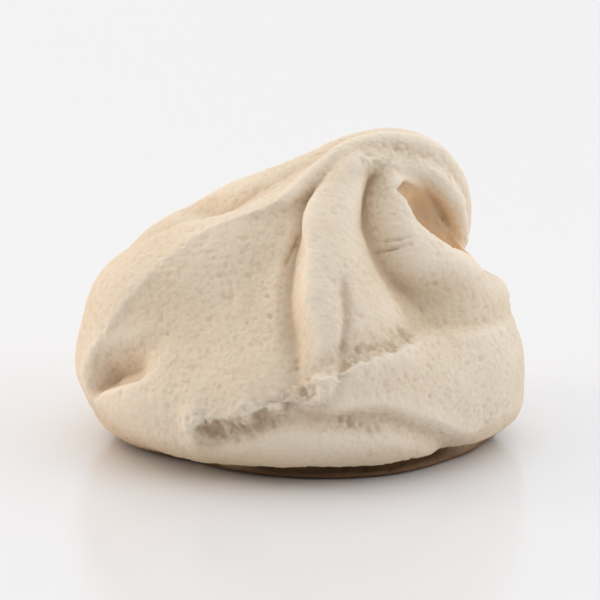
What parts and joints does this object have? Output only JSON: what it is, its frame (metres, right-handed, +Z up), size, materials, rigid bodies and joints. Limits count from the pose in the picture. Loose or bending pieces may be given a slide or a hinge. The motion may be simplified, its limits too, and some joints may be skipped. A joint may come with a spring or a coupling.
{
  "type": "meringue cookie",
  "caption": "Piped meringue cookie: a fluted dome whose peak leans to one side, curls over and tucks in behind a ridge, on a flat base.",
  "frame": {"origin": "middle of the cookie's box, on the surface that it rests on", "axes": "+Z up from the flat base to the curl; -Y towards the front, the side with the crisp middle ridge; +X towards the side that the peak leans and curls to"},
  "size_m": [0.0424, 0.0426, 0.0299],
  "materials": {
    "baked_crust": "matte, chalky, finely porous pale beige crust of dry baked meringue"
  },
  "bodies": {
    "root": {"meringue": "baked_crust"}
  },
  "joints": []
}
